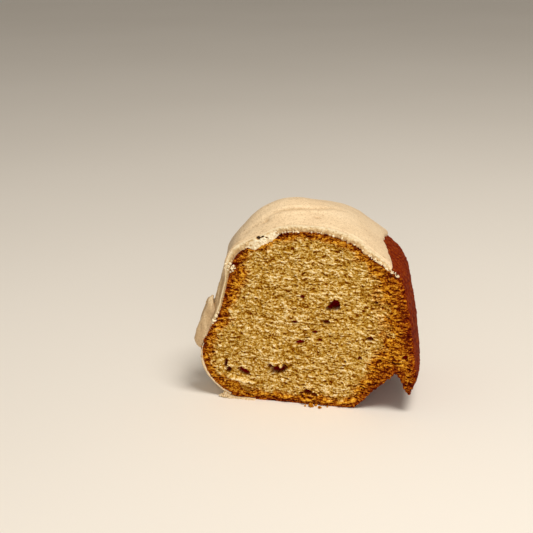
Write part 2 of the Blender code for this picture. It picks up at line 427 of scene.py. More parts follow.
def skin():
    """The crust's grid of points, bumps included, and its bumps: rows run round the outline, columns front to back."""
    smooth = np.stack([place(section(phi), phi) for phi in ANGLES], axis=1)
    round_way = np.roll(smooth, -1, axis=0) - np.roll(smooth, 1, axis=0)
    through = np.gradient(smooth, axis=1)
    normals = np.cross(round_way, through)
    for column, phi in ((0, FRONT), (-1, BACK)):
        across = cut_direction(phi)
        normals[:, column] -= (normals[:, column] @ across)[:, None] * across
    normals /= np.linalg.norm(normals, axis=2, keepdims=True)
    if np.sum(normals[:, :, 0] * (smooth[:, :, 0] - smooth[:, :, 0].mean())) < 0:
        normals = -normals
    lift = skin_relief(smooth.reshape(-1, 3)).reshape(smooth.shape[:2])
    distance = np.hypot(smooth[:, :, 0] - AXIS_X, smooth[:, :, 1])
    x, y, z = (smooth[:, :, k] for k in range(3))
    near_cut = np.exp(-np.minimum(distance * (ANGLES - FRONT), distance * (BACK - ANGLES)) / 1.2)
    ragged = noise(x / 1.1, y / 1.1, z / 1.1, 45) + 0.6 * noise(x / 0.6, y / 0.6, z / 0.6, 46)
    lift = lift + near_cut * ragged * crumbliness(distance, z)
    lift = lift * ease(z, 0.1, 2.5)
    return smooth + normals * lift[:, :, None], lift


def cut_face(name, phi, rim, holes, lifts, seed, step, material):
    """One cut face: a fine sheet of triangles inside the rim, raised and pitted as torn crumb."""
    low, high = rim.min(axis=0), rim.max(axis=0)
    rows = np.arange(low[1], high[1], step * math.sqrt(3) / 2)
    across = np.arange(low[0], high[0], step)
    grid_x, grid_z = np.meshgrid(across, rows)
    grid_x = grid_x + (np.arange(len(rows)) % 2)[:, None] * step / 2
    lattice = np.stack([grid_x.ravel(), grid_z.ravel()], axis=1)
    lattice = lattice[inside_outline(lattice, rim)]
    gap, _ = nearest(rim, lattice)
    spots = np.concatenate([rim, lattice[gap > 0.6 * step]])
    n = len(rim)
    border = [(i, (i + 1) % n) for i in range(n)]
    verts, _, faces, _, _, _ = delaunay_2d_cdt([Vector(p) for p in spots], border, [], 1, 1e-6)
    spots = np.array([tuple(v) for v in verts])
    gap, closest = nearest(rim, spots)
    x, z = spots.T
    height, lit_pale, hole = crumb_relief(x, z, holes, lifts, seed)
    edge = 1 - ease(gap, 0.0, EDGE_REACH)
    height = height * (1 - 0.45 * edge) - 0.3 * edge
    width = browned_width(rim)[closest]
    uneven = 1 + 0.5 * noise(x / 5, z / 5, 0.5, seed + 20) + 0.35 * noise(x / 1.6, z / 1.3, 1.5, seed + 21)
    brown = np.clip(1 - gap / (width * np.clip(uneven, 0.3, 2)), 0, 1)
    points = place(spots, phi) + cut_direction(phi) * height[:, None]
    faces = [f if phi < 0 else f[::-1] for f in faces]
    return make_piece(name, points, faces, {"lit_pale": lit_pale, "hole": hole, "brown": brown}, material, closed=False)


def film_share(distance, y, z):
    """Where a thin film of glaze has dried on the inner foot."""
    inner = 1 - ease(distance, 42, 50)
    low = 1 - ease(z, 24, 30)
    streaks = noise(y / 2.2, z / 7, 0.5, 70)
    return np.clip(inner * low * ease(streaks, -0.5, 0.1), 0, 1)


def build_cake(crumb, crust):
    """The two cut faces and the crust between them, which share their rims."""
    points, lift = skin()
    pieces = []
    cuts = (
        ("crumb_front", FRONT, 0, FRONT_HOLES, FRONT_LIFTS, 100, FRONT_CRUMB_STEP),
        ("crumb_back", BACK, -1, BACK_HOLES, BACK_LIFTS, 200, BACK_CRUMB_STEP),
    )
    for name, phi, column, holes, lifts, seed, step in cuts:
        edge = points[:, column].copy()
        rim = np.stack([np.hypot(edge[:, 0] - AXIS_X, edge[:, 1]), edge[:, 2]], axis=1)
        pieces.append(cut_face(name, phi, rim, holes, lifts, seed, step, crumb))
        height, _, _ = crumb_relief(rim[:, 0], rim[:, 1], holes, lifts, seed)
        sink = height * 0.55 - 0.3
        from_cut = np.linalg.norm(points - edge[:, None], axis=2)
        share = np.clip(1 - from_cut / EDGE_REACH, 0, 1)
        points = points + (sink[:, None] * share)[:, :, None] * cut_direction(phi)
    rows, columns = points.shape[:2]
    flat = points.reshape(-1, 3)
    x, y, z = flat.T
    film = film_share(np.hypot(x - AXIS_X, y), y, z)
    # lift carries the crust's bumps to its material, which paints them lighter and the dips darker as painted light and
    # shade.
    attributes = {"lift": np.clip(0.5 + lift.ravel() / 0.8, 0, 1), "film": film}
    pieces.append(make_piece("crust", flat, grid_faces(rows, columns, close_rows=True)[:, ::-1], attributes, crust, closed=False))
    return pieces


# ---------------------------------------------------------------- glaze

# The smear on the front cut: where it starts and ends, how far it hangs at shares of the way along, and its pits
SMEAR_STARTS = 54.5
SMEAR_ENDS = 71.0
SMEAR_ALONG = (0, 0.12, 0.25, 0.45, 0.7, 0.88, 1)
SMEAR_DROP = (0.0, 0.6, 2.6, 2.2, 1.9, 0.9, 0.0)
SMEAR_ABOVE = 1.9
SMEAR_LIFT = 0.7
SMEAR_PITS = ((61.4, 70.4, 1.2, 0.75, 20), (63.0, 71.0, 1.0, 0.4, 30), (64.9, 70.9, 0.9, 0.3, -20))

# Lumps of set sugar beside the front cut: distance from the axis, height and radius
SHOULDER_LUMPS = (
    (48.7, 57.8, 0.62), (50.1, 57.0, 0.7), (49.4, 59.0, 0.45), (48.3, 56.3, 0.45), (50.7, 58.0, 0.45),
    (49.4, 55.6, 0.3), (47.4, 58.9, 0.4), (50.4, 56.0, 0.3), (51.2, 57.2, 0.3), (46.9, 57.0, 0.3),
)
RIM_END_LUMPS = ((42.6, 36.0, 0.62), (41.5, 33.8, 0.6), (42.0, 34.9, 0.35), (43.5, 37.6, 0.4), (40.9, 32.6, 0.35))

# Creases in the glaze's top: points as (share of the wedge from the middle, distance from the axis), then depth and width
CREASES = (
    (((-0.38, 52.6), (-0.35, 57.4), (-0.32, 61.8), (-0.28, 68.5), (-0.25, 76.5), (-0.20, 84.1), (-0.01, 93.3)), 0.42, 1.1),
    (((-0.40, 60.0), (-0.37, 62.8), (-0.36, 65.6), (-0.33, 69.0)), 0.45, 0.9),
    (((-0.36, 82.6), (-0.39, 86.5)), 0.3, 0.5),
    (((0.10, 58.0), (0.16, 66.0), (0.15, 76.0), (0.22, 86.0)), 0.25, 0.8),
    (((0.34, 62.0), (0.38, 72.0), (0.36, 84.0), (0.41, 97.0)), 0.28, 0.7),
)


def smear_pit(distance, z):
    """1 in the middle of the smear's small pits, which are painted dark as shade, 0 away from them."""
    pit = np.zeros(distance.shape)
    ragged = 0.25 * noise(distance / 1.2, z / 1.2, 2.5, 144)
    for centre_x, centre_z, half_w, half_h, tilt in SMEAR_PITS:
        pit = np.maximum(pit, 1 - ease(blob(distance, z, centre_x, centre_z, half_w, half_h, tilt, ragged), 0.55, 1.05))
    return pit


def drip_share(phi):
    """1 in the middle of each drip, 0 between them."""
    return math.exp(-(((abs(phi) - DRIP_AT) / DRIP_HALF_WIDTH) ** 2))


def glaze_limits(phi):
    """Heights at which the glaze ends on the outer shoulder and on the inner wall, a little uneven."""
    on_ridge = math.cos(math.pi * phi / WEDGE)
    outer = GLAZE_OUTER_LIMIT_AT_CUT + (GLAZE_OUTER_LIMIT - GLAZE_OUTER_LIMIT_AT_CUT) * on_ridge
    outer += 0.5 * float(noise(phi * 20, 0.5, 0.5, 80)) + 0.25 * float(noise(phi * 60, 1.5, 0.5, 81))
    longest = 22.5 if phi < 0 else 25.0
    inner = GLAZE_INNER_LIMIT + (longest - GLAZE_INNER_LIMIT) * drip_share(phi)
    inner += 0.8 * float(noise(phi * 32, 2.5, 0.5, 82)) * (1 - drip_share(phi))
    behind_cut = GLAZE_INNER_LIMIT * min(phi - FRONT, BACK - phi)
    return outer, inner + (GLAZE_INNER_LIMIT_AT_CUT - inner) * math.exp(-((behind_cut / 1.4) ** 2))


def glazed_path(phi):
    """The stretch of a section under the glaze, as GLAZE_ROWS even points, and how far along it each lies."""
    outer_end, inner_end = glaze_limits(phi)
    ring = section(phi)
    n = len(ring)
    crest = int(np.argmax(ring[:, 1]))
    ring = ring[(crest + np.arange(-n // 2, n // 2)) % n]
    start = end = n // 2
    while ring[start, 1] > outer_end:
        start -= 1
    while ring[end, 1] > inner_end:
        end += 1
    path = ring[start:end + 1]
    reach = np.concatenate([[0], np.cumsum(np.linalg.norm(np.diff(path, axis=0), axis=1))])
    first = np.interp(-outer_end, -path[: n // 2 - start, 1][:6], reach[:6])
    last = np.interp(-inner_end, -path[-6:, 1], reach[-6:])
    want = np.linspace(first, last, GLAZE_ROWS)
    return np.stack([np.interp(want, reach, path[:, k]) for k in range(2)], axis=1), want - want[0]


def glaze_thickness(path, along, phi):
    """How thick the glaze is along one section."""
    x, z = path.T
    groove = GLAZE_THICKER_IN_GROOVE * (1 - math.cos(math.pi * phi / WEDGE)) * ease(z, CROWN_STARTS, CROWN_FULL)
    outside = GLAZE + groove - GLAZE_THINNER * ease(x, GLAZE_THINS_FROM, GLAZE_THINS_TO)
    inside = GLAZE + groove + GLAZE_THICKER_INSIDE * (1 - ease(z, THICKEST_BELOW, THICKER_BELOW))
    thick = np.where(x > CROWN_RIDGE_AT, outside, inside)
    behind_cut = x * min(phi - FRONT, BACK - phi)
    thick *= 1 - 0.55 * (1 - ease(behind_cut, 0.4, 2.6)) * (1 - ease(z, 50, 60)) * (x < CROWN_RIDGE_AT)
    from_outer, from_inner = along, along[-1] - along
    ends = np.minimum(np.clip(from_outer / 2.6, 0, 1), np.clip(from_inner / 1.8, 0, 1))
    return thick * (0.16 + 0.84 * np.sqrt(1 - (1 - ends) ** 2))


def crease_depth(points):
    """How deep the creases cut into the glaze, at each point, with a low welt along one side."""
    depth = np.zeros(len(points))
    for route, deepest, width in CREASES:
        line = []
        for (t0, r0), (t1, r1) in zip(route, route[1:]):
            for k in np.linspace(0, 1, 24):
                phi = (t0 + (t1 - t0) * k) * WEDGE
                ring = section(phi)
                top = ring[ring[:, 1] > 45]
                i = int(np.argmin(np.abs(top[:, 0] - (r0 + (r1 - r0) * k))))
                line.append(place(top[i:i + 1] + [0, GLAZE], phi)[0])
        line = np.array(line)
        near = np.where(np.linalg.norm(points - line.mean(axis=0), axis=1) < 40)[0]
        gap, where = nearest(line, points[near])
        x, y, z = points[near].T
        gap = gap + 0.6 * noise(x / 3, y / 3, z / 3, 130) + 0.25 * noise(x, y, z, 131)
        fade = np.sin(np.pi * np.clip(where / len(line), 0.02, 0.98)) ** 0.5
        depth[near] += deepest * fade * (np.exp(-((gap / width) ** 2)) - 0.55 * np.exp(-(((gap - 2 * width) / width) ** 2)))
    return depth


def build_glaze(material):
    """The glaze as one closed shell, whose cut bands bulge a little over the crumb."""
    turns = np.linspace(-1, 1, GLAZE_COLUMNS)
    angles = WEDGE / 2 * np.sin(turns * math.pi / 2) * 0.45 + WEDGE / 2 * turns * 0.55
    outer, inner = [], []
    for phi in angles:
        path, along = glazed_path(phi)
        normals = path_normals(path, closed=False)
        thick = glaze_thickness(path, along, phi)
        behind_cut = path[:, 0] * min(phi - FRONT, BACK - phi)
        short = np.clip(ROLLED_EDGE - behind_cut, 0, ROLLED_EDGE)
        thick = np.maximum(thick - (ROLLED_EDGE - np.sqrt(ROLLED_EDGE**2 - short**2)), 0.1)
        outer.append(place(path + normals * thick[:, None], phi))
        inner.append(place(path - normals * GLAZE_SINKS_IN, phi))
    outer, inner = np.stack(outer, axis=1), np.stack(inner, axis=1)
    out = outer - inner
    thickness = np.linalg.norm(out, axis=2)
    out /= thickness[:, :, None]
    x, y, z = (outer[:, :, k] for k in range(3))
    crease = crease_depth(outer.reshape(-1, 3)).reshape(x.shape)
    inside = 1 - ease(x, CROWN_RIDGE_AT - 12 + AXIS_X, CROWN_RIDGE_AT + AXIS_X)
    wall = (1 - ease(z, 52, 64)) * inside
    # Painted shade: the inner side is painted darker tan down the wall, fading up the inner slope, where it faces away
    # from the key light.
    shaded_inner_side = np.maximum(0.45 * (1 - ease(z, 58, 78)) * inside, (1 - ease(z, 48, 62)) * inside)
    relief = 0.18 * noise(x / 11, y / 8, z / 11, 90) + 0.10 * noise(x / 4, y / 3, z / 4, 91)
    relief += 0.04 * noise(x / 1.2, y / 1.2, z / 1.2, 92) - crease
    relief += wall * (0.20 * noise(x / 2.2, y / 1.4, z / 3.5, 93) + 0.10 * noise(x / 0.9, y / 0.9, z / 1.2, 94))
    outer = outer + out * (relief * np.clip(thickness / GLAZE, 0, 1))[:, :, None]
    rows, columns = outer.shape[:2]
    n = rows * columns
    points = [outer.reshape(-1, 3), inner.reshape(-1, 3)]
    faces = grid_faces(rows, columns, close_rows=False)
    parts = [faces, faces[:, ::-1] + n]
    grid = np.arange(n).reshape(rows, columns)
    for edge, flip in ((grid[0], False), (grid[-1], True)):
        quads = np.stack([edge[:-1], edge[1:], edge[1:] + n, edge[:-1] + n], axis=1)
        parts.append(quads[:, ::-1] if flip else quads)
    cut, deep = [np.zeros(2 * n)], [np.zeros(n), np.ones(n)]
    # tan carries the painted shade of the inner side into the wall attribute.
    tan = [shaded_inner_side.ravel(), shaded_inner_side.ravel()]
    # Painted shade in the creases, from their depth.
    crease_shade = [np.clip(crease.ravel() / 0.4, 0, 1), np.zeros(n)]
    count = 2 * n
    band_ends = []
    for column, phi in ((0, FRONT), (columns - 1, BACK)):
        distance = np.hypot(inner[:, column, 0] - AXIS_X, inner[:, column, 1])
        fringe = ease(distance, 84, 108)
        rings = [grid[:, column]]
        for k in range(1, BAND_STEPS):
            w = k / BAND_STEPS
            x, y, z = inner[:, column].T
            spill = 0.02 + 0.30 * fringe + (0.30 + 0.2 * fringe) * noise(x / 1.9, y, z / 1.9, 97)
            spill = np.clip(spill + (0.12 + 0.2 * fringe) * noise(x / 0.8, y, z / 0.8, 98), -0.1, 1.3)
            row = outer[:, column] + (inner[:, column] - outer[:, column]) * (w * (1 + spill))[:, None]
            x, y, z = row.T
            rough = 0.30 * noise(x / 1.1, y, z / 0.9, 95) + 0.30 * noise(x / 0.55, y, z / 0.5, 96)
            swell = 0.30 * ease(w, 0.15, 0.9)
            pit = smear_pit(np.hypot(x - AXIS_X, y), z) if column == 0 else np.zeros(rows)
            bulge = (swell + rough * ease(w, 0.1, 0.5)) * (1 - pit) - 1.6 * pit
            points.append(row + bulge[:, None] * cut_direction(phi))
            rings.append(count + np.arange(rows))
            cut.append(np.full(rows, float(ease(w, -0.05, 0.2))))
            # deep paints the band: lightest at its top edge as a painted highlight, darker towards the crumb, darker in
            # its dips and near black in the smear's pits as painted shade.
            deep.append(np.clip(0.14 + 0.66 * w - 0.40 * rough, 0, 0.9) * (1 - pit) + 1.1 * pit)
            tan.append(np.zeros(rows))
            crease_shade.append(np.zeros(rows))
            count += rows
        rings.append(grid[:, column] + n)
        for a, b in zip(rings, rings[1:]):
            parts.append(np.stack([a[:-1], a[1:], b[1:], b[:-1]], axis=1))
        band_ends.extend([int(ring[end]) for ring in rings] for end in (0, -1))
    values = {"cut": cut, "deep": deep, "wall": tan, "crease_shade": crease_shade}
    values = {key: np.concatenate(value) for key, value in values.items()}
    faces = np.concatenate(parts).tolist() + band_ends
    return make_piece("glaze_cap", np.concatenate(points), faces, values, material)


def wall_path(phi, top, bottom, count):
    """Even points down the inner wall of a section, between two heights."""
    ring = section(phi)
    inside = ring[(ring[:, 0] < 60) & (ring[:, 1] > bottom - 2) & (ring[:, 1] < top + 2)]
    inside = inside[np.argsort(-inside[:, 1])]
    z = np.linspace(top, bottom, count)
    return np.stack([np.interp(-z, -inside[:, 1], inside[:, 0]), z], axis=1)


def build_drip(name, phi_middle, top, bottom, material):
    """A drip down the inner wall: a slab with rounded ends whose top stands off the glaze behind it."""
    rows, columns = 120, 44
    z = np.linspace(top, bottom, rows)
    down = (z - top) / (bottom - top)
    stands_off = np.interp(down, DRIP_DOWN, DRIP_STANDS_OFF)
    from_end = np.minimum(top - z, (z - bottom) * 1.15)
    width = DRIP_WIDTH * np.sqrt(np.clip(1 - np.clip(1 - from_end / DRIP_WIDTH, 0, 1) ** 2, 0.002, 1))
    width *= (1 + 0.14 * noise(z / 5, 0.5, 0.5, 160)) * (0.3 + 0.7 * ease(down, 0, 0.35))
    behind = np.interp(down, DRIP_DOWN, DRIP_BACK)
    outer, inner = [], []
    for u in np.linspace(-1, 1, columns):
        side = (1 - abs(u) ** 3.2) ** 0.45
        high, low = [], []
        for k in range(rows):
            phi = phi_middle + u * width[k] / 44 + 0.008 * math.sin(0.16 * z[k])
            path = wall_path(phi, z[k] + 0.4, z[k] - 0.4, 3)
            normal = path_normals(path, closed=False)[1]
            x, y, height = place(path[1:2], phi)[0]
            lump = 0.16 * noise(x / 2, y / 2, height / 3, 161) + 0.08 * noise(x, y, height, 162)
            off = behind[k] + 0.3 + (stands_off[k] + lump - behind[k] - 0.3) * side
            high.append(place((path[1] + normal * off)[None], phi)[0])
            low.append(place((path[1] + normal * behind[k])[None], phi)[0])
        outer.append(high)
        inner.append(low)
    outer, inner = np.array(outer).transpose(1, 0, 2), np.array(inner).transpose(1, 0, 2)
    points = np.concatenate([outer.reshape(-1, 3), inner.reshape(-1, 3)])
    # Painted shade: the drip takes the inner side's darker tan.
    wall = np.full(len(points), 0.75)
    return make_piece(name, points, shell_faces(rows, columns), {"wall": wall}, material)


def build_smear(material):
    """Glaze dragged down over the front crumb, puckered round a small hole that is painted dark as shade, as a closed
    shell.
    """
    columns, rows = 120, 46
    ring = section(FRONT)
    top = ring[(ring[:, 1] > 50) & (ring[:, 0] > SMEAR_STARTS - 1) & (ring[:, 0] < SMEAR_ENDS + 1)]
    top = top[np.argsort(top[:, 0])]
    u = np.linspace(0, 1, columns)
    along = SMEAR_STARTS + (SMEAR_ENDS - SMEAR_STARTS) * u
    line = np.stack([along, np.interp(along, top[:, 0], top[:, 1])], axis=1)
    inward = -path_normals(line[::-1], closed=False)[::-1]
    drop = np.interp(u, SMEAR_ALONG, SMEAR_DROP)
    drop += (0.35 * noise(u * 10, 0.5, 0.5, 140) + 0.3 * noise(u * 26, 1.5, 0.5, 141)) * np.sin(math.pi * u) ** 0.5
    shares = np.linspace(0, 1, rows)
    high, low, deep = [], [], []
    for share in shares:
        row = line + inward * (share * (drop + SMEAR_ABOVE) - SMEAR_ABOVE)[:, None]
        x, z = row.T
        sides = np.sin(math.pi * u) ** 0.8
        body = ease(share, 0, 0.18) * (0.35 + 0.65 * ease(share, 0.1, 0.7)) * math.sqrt(max(0.0, 1 - share**6))
        folds = 0.42 * noise(x / 1.5, z / 1.2, 0.5, 142) + 0.3 * noise(x / 0.7, z / 0.6, 0.5, 143)
        pit = smear_pit(x, z)
        for centre_x, centre_z, half_w, half_h, tilt in SMEAR_PITS:
            away = blob(x, z, centre_x, centre_z, half_w, half_h, tilt, 0)
            folds = folds + 0.3 * np.exp(-(((away - 1.6) / 0.4) ** 2))
        lift = (0.9 + (SMEAR_LIFT + folds) * body) * sides - 0.6
        high.append(place(row, FRONT) + cut_direction(FRONT) * (lift * (1 - pit) - 1.2 * pit)[:, None])
        low.append(place(row, FRONT) - cut_direction(FRONT) * 1.3)
        # Painted shade: darker in the low folds and towards the top end, near black in the pits.
        deep.append(np.clip(0.22 - 0.45 * folds + 0.25 * (1 - ease(share, 0.0, 0.3)), 0, 0.6) * (1 - pit) + 1.05 * pit)
    outer, inner = np.stack(high), np.stack(low)
    points = np.concatenate([outer.reshape(-1, 3), inner.reshape(-1, 3)])
    ones = np.ones(len(points))
    deep = np.concatenate([np.concatenate(deep), np.ones(rows * columns)])
    return make_piece("glaze_smear", points, shell_faces(rows, columns), {"cut": ones, "deep": deep}, material)


def build_film(material):
    """The thin film of glaze that ran down the inner foot, from the cap's drips towards the pool."""
    columns = 90
    angles = np.linspace(FRONT, BACK, columns)
    outer, inner = [], []
    for phi in angles:
        ring = section(phi)
        inside = ring[(ring[:, 0] < 56) & (ring[:, 1] < 30)]
        inside = inside[np.argsort(-inside[:, 1], kind="stable")]
        path = inside[(inside[:, 1] > 1.2) & (inside[:, 1] < 24)]
        reach = np.concatenate([[0], np.cumsum(np.linalg.norm(np.diff(path, axis=0), axis=1))])
        want = np.linspace(0, reach[-1], 90)
        path = np.stack([np.interp(want, reach, path[:, k]) for k in range(2)], axis=1)
        normals = path_normals(path, closed=False)
        y = path[:, 0] * math.sin(phi)
        x, z = path.T
        patchy = noise(y / 3.5, z / 6, 0.5, 150) + 0.5 * noise(y / 1.2, z / 1.6, 1.5, 151)
        thick = 0.05 + 0.34 * patchy - 0.5 * ease(z, 18, 23)
        outer.append(place(path + normals * thick[:, None], phi))
        inner.append(place(path - normals * 0.8, phi))
    outer, inner = np.stack(outer, axis=1), np.stack(inner, axis=1)
    rows = outer.shape[0]
    points = np.concatenate([outer.reshape(-1, 3), inner.reshape(-1, 3)])
    faces = shell_faces(rows, columns)
    none = np.zeros(len(points))
    return make_piece("glaze_film", points, faces, {"cut": none + 0.4, "deep": none + 0.3}, material)


def build_pool(material):
    """Sugary glaze pooled under the inner foot, which shows a little in front of each cut."""
    radius = FOOT[2]
    centre = np.array([FOOT[0] + radius, radius])
    thin_end, thick_end = math.radians(-12), math.radians(29)
    columns = 130
    rings = []
    for phi in np.linspace(FRONT - POOL_SHOWS, BACK + POOL_SHOWS, columns):
        angle = np.linspace(thin_end, thick_end, 60)
        past_cut = max(FRONT - phi, phi - BACK, 0) / POOL_SHOWS
        under = centre - np.stack([np.sin(angle), np.cos(angle)], axis=1) * (radius + 0.12)
        under[:, 1] = np.maximum(under[:, 1], 0.45) * (1 - 0.55 * past_cut)
        top = under[-1]
        turn = np.linspace(0, 1, 16)[1:]
        bulge = 0.8 + 0.8 * float(noise(phi * 30, 0.5, 0.5, 120)) - 0.7 * past_cut
        edge = np.stack([top[0] - bulge * np.sin(turn * math.pi * 0.85), top[1] * (1 - turn)], axis=1)
        floor_line = np.stack([np.linspace(edge[-1, 0], under[0, 0], 24)[1:], np.zeros(23)], axis=1)
        rings.append(place(np.concatenate([under, edge, floor_line]), phi))
    grid = np.stack(rings, axis=1)
    rows = grid.shape[0]
    outward = grid - grid.mean(axis=(0, 1))
    outward /= np.linalg.norm(outward, axis=2, keepdims=True)
    x, y, z = (grid[:, :, k] for k in range(3))
    lumps = 0.34 * noise(x / 1.3, y / 1.3, z / 1.3, 121) + 0.30 * noise(x / 0.6, y / 0.6, z / 0.6, 122)
    grid = grid + outward * (lumps * ease(z, 0.02, 0.5))[:, :, None]
    grid[:, :, 2] = np.maximum(grid[:, :, 2], 0)
    points = grid.reshape(-1, 3)
    faces = grid_faces(rows, columns, close_rows=True).tolist()
    faces.append(list(np.arange(rows)[::-1] * columns))
    faces.append(list(np.arange(rows) * columns + columns - 1))
    x, y, z = points.T
    deep = 0.4 + 0.3 * noise(x / 0.8, y / 0.8, z / 0.8, 123)
    return make_piece("glaze_foot", points, faces, {"cut": np.ones(len(points)), "deep": deep}, material)


def chance(k, j, seed):
    """A repeatable random number from 0 to 1 for a pair of counts."""
    return float(lattice_random(np.array([k]), np.array([j]), np.array([0]), seed)[0])


def build_grains(name, spots, attributes, seed, material):
    """Small jagged lumps as one mesh, from a list of (centre in mm, radius in mm)."""
    ball = bmesh.new()
    bmesh.ops.create_icosphere(ball, subdivisions=3, radius=1)
    unit = np.array([v.co[:] for v in ball.verts])
    triangles = np.array([[v.index for v in f.verts] for f in ball.faces])
    ball.free()
    points, faces = [], []
    for i, (centre, radius) in enumerate(spots):
        x, y, z = (unit * 1.3 + 7.3 * i).T
        stretch = np.array([0.7 + 0.7 * chance(i, j, seed) for j in range(3)])
        shape = unit * (1 + 0.75 * noise(x, y, z, seed) + 0.3 * noise(2 * x, 2 * y, 2 * z, seed))[:, None] * stretch
        points.append(np.array(centre) + shape * radius)
        faces.append(triangles + i * len(unit))
    points = np.concatenate(points)
    points[:, 2] = np.maximum(points[:, 2], 0)
    values = {key: np.full(len(points), value) for key, value in attributes.items()}
    return make_piece(name, points, np.concatenate(faces), values, material)


def pool_spots():
    """Crumbled sugar lying along the front of the pool under the inner foot."""
    spots = []
    for k in range(46):
        distance = 42.5 + 14 * chance(k, 5, 310)
        radius = 0.2 + 0.3 * chance(k, 6, 310) * ease(-distance, -57, -46)
        out = 0.3 + 1.2 * chance(k, 7, 310) * (distance > 44)
        spot = place(np.array([[distance, 0.7 * radius + 0.8 * chance(k, 8, 310) * ease(-distance, -50, -43)]]), FRONT)[0]
        spots.append((spot + cut_direction(FRONT) * out, radius))
    return spots


def sugar_spots():
    """Where set sugar has crumbled: on the inner shoulder, at the rim's lower end and along its ragged lower edge."""
    spots = []

    def add(distance, height, out, radius):
        spots.append((place(np.array([[distance, height]]), FRONT)[0] + cut_direction(FRONT) * out, radius))

    for distance, height, radius in SHOULDER_LUMPS:
        add(distance, height, 0.5, radius)
    for distance, height, radius in RIM_END_LUMPS:
        add(distance, height, 0.3, radius)
    ring = section(FRONT)
    rim = ring[(ring[:, 1] > 58) & (ring[:, 0] > 52)]
    rim = rim[np.argsort(-rim[:, 0])]
    for k in range(110):
        near_tip = k < 64
        share = chance(k, 0, 300) ** (1.2 if near_tip else 1.0)
        p = rim[int(share * (0.2 if near_tip else 0.98) * (len(rim) - 1))]
        down = (0.9 if near_tip else 0.5) * chance(k, 1, 300)
        add(p[0] - 0.4 * down, p[1] - down + 0.1, 0.1 + 0.3 * chance(k, 2, 300), 0.16 + 0.22 * chance(k, 3, 300) ** 2)
    return spots


# ---------------------------------------------------------------- materials

def new_material(name, roughness):
    material = bpy.data.materials.new(name)
    material.use_nodes = True
    tree = material.node_tree
    shader = tree.nodes["Principled BSDF"]
    shader.inputs["Roughness"].default_value = roughness
    return material, tree, shader


def attribute(tree, name):
    node = tree.nodes.new("ShaderNodeAttribute")
    node.attribute_name = name
    return node.outputs["Fac"]


def texture(tree, kind, scale, detail=3.0, squash=1.0):
    """A noise or Voronoi texture in the object's own coordinates, whose features may be flattened along z."""
    place_node = tree.nodes.new("ShaderNodeTexCoord")
    stretch = tree.nodes.new("ShaderNodeVectorMath")
    stretch.operation = "MULTIPLY"
    stretch.inputs[1].default_value = (1, 1, squash)
    node = tree.nodes.new("ShaderNodeTexNoise" if kind == "noise" else "ShaderNodeTexVoronoi")
    node.inputs["Scale"].default_value = scale
    if kind == "noise":
        node.inputs["Detail"].default_value = detail
    tree.links.new(place_node.outputs["Object"], stretch.inputs[0])
    tree.links.new(stretch.outputs["Vector"], node.inputs["Vector"])
    return node


def ramp(tree, factor, stops):
    node = tree.nodes.new("ShaderNodeValToRGB")
    elements = node.color_ramp.elements
    while len(elements) < len(stops):
        elements.new(0.5)
    for element, (position, colour) in zip(elements, stops):
        element.position = position
        element.color = (*colour, 1)
    tree.links.new(factor, node.inputs["Fac"])
    return node.outputs["Color"]


def calculate(tree, operation, *values, clamp=True):
    """A math node, clamped from 0 to 1 unless told otherwise."""
    node = tree.nodes.new("ShaderNodeMath")
    node.operation = operation
    node.use_clamp = clamp
    for socket, value in zip(node.inputs, values):
        if isinstance(value, (int, float)):
            socket.default_value = value
        else:
            tree.links.new(value, socket)
    return node.outputs["Value"]


def mix(tree, factor, first, second, blend="MIX"):
    node = tree.nodes.new("ShaderNodeMix")
    node.data_type = "RGBA"
    node.blend_type = blend
    for socket, value in ((node.inputs["Factor"], factor), (node.inputs[6], first), (node.inputs[7], second)):
        if isinstance(value, tuple):
            socket.default_value = (*value, 1)
        elif isinstance(value, (int, float)):
            socket.default_value = value
        else:
            tree.links.new(value, socket)
    return node.outputs[2]


def bump(tree, shader, height, strength, distance):
    node = tree.nodes.new("ShaderNodeBump")
    node.inputs["Strength"].default_value = strength
    node.inputs["Distance"].default_value = distance
    tree.links.new(height, node.inputs["Height"])
    tree.links.new(node.outputs["Normal"], shader.inputs["Normal"])


def crumb_material():
    """Golden crumb: painted light on its raised grains and painted shade, deep amber, between them, and browner towards
    the crust.
    """
    material, tree, shader = new_material("crumb", 0.9)
    shader.inputs["Specular IOR Level"].default_value = 0.05
    grain = texture(tree, "noise", 1600, 4, 1.6)
    level = calculate(tree, "MULTIPLY_ADD", grain.outputs["Fac"], 1.4, attribute(tree, "lit_pale"), clamp=False)
    level = calculate(tree, "SUBTRACT", level, 0.70)
    plain = ramp(tree, level, (
        (0.08, (0.15, 0.020, 0.0002)), (0.32, (0.36, 0.148, 0.002)), (0.54, (0.58, 0.328, 0.042)),
        (0.74, (0.82, 0.575, 0.215)), (0.98, (1.0, 0.82, 0.50)),
    ))
    amber = ramp(tree, level, (
        (0.18, (0.07, 0.002, 0.0002)), (0.42, (0.24, 0.042, 0.0006)), (0.62, (0.56, 0.205, 0.004)),
        (0.92, (0.90, 0.48, 0.05)),
    ))
    dark = ramp(tree, level, (
        (0.18, (0.05, 0.001, 0.0001)), (0.45, (0.15, 0.012, 0.0004)), (0.68, (0.34, 0.070, 0.0015)),
        (0.95, (0.62, 0.24, 0.012)),
    ))
    brown = attribute(tree, "brown")
    colour = mix(tree, calculate(tree, "MULTIPLY", brown, 2.6), plain, amber)
    colour = mix(tree, calculate(tree, "MULTIPLY_ADD", brown, 2.4, -1.2), colour, dark)
    # Painted shade: the holes are painted near-black red.
    colour = mix(tree, calculate(tree, "MULTIPLY", attribute(tree, "hole"), 1.1), colour, (0.17, 0.0012, 0.0008))
    patch = texture(tree, "noise", 130, 2)
    shade = ramp(tree, patch.outputs["Fac"], ((0.3, (0.92, 0.90, 0.86)), (0.7, (1.0, 1.0, 1.0))))
    tree.links.new(mix(tree, 1.0, colour, shade, "MULTIPLY"), shader.inputs["Base Color"])
    fine = texture(tree, "noise", 2400, 3)
    bump(tree, shader, fine.outputs["Fac"], 0.6, 0.0003)
    return material


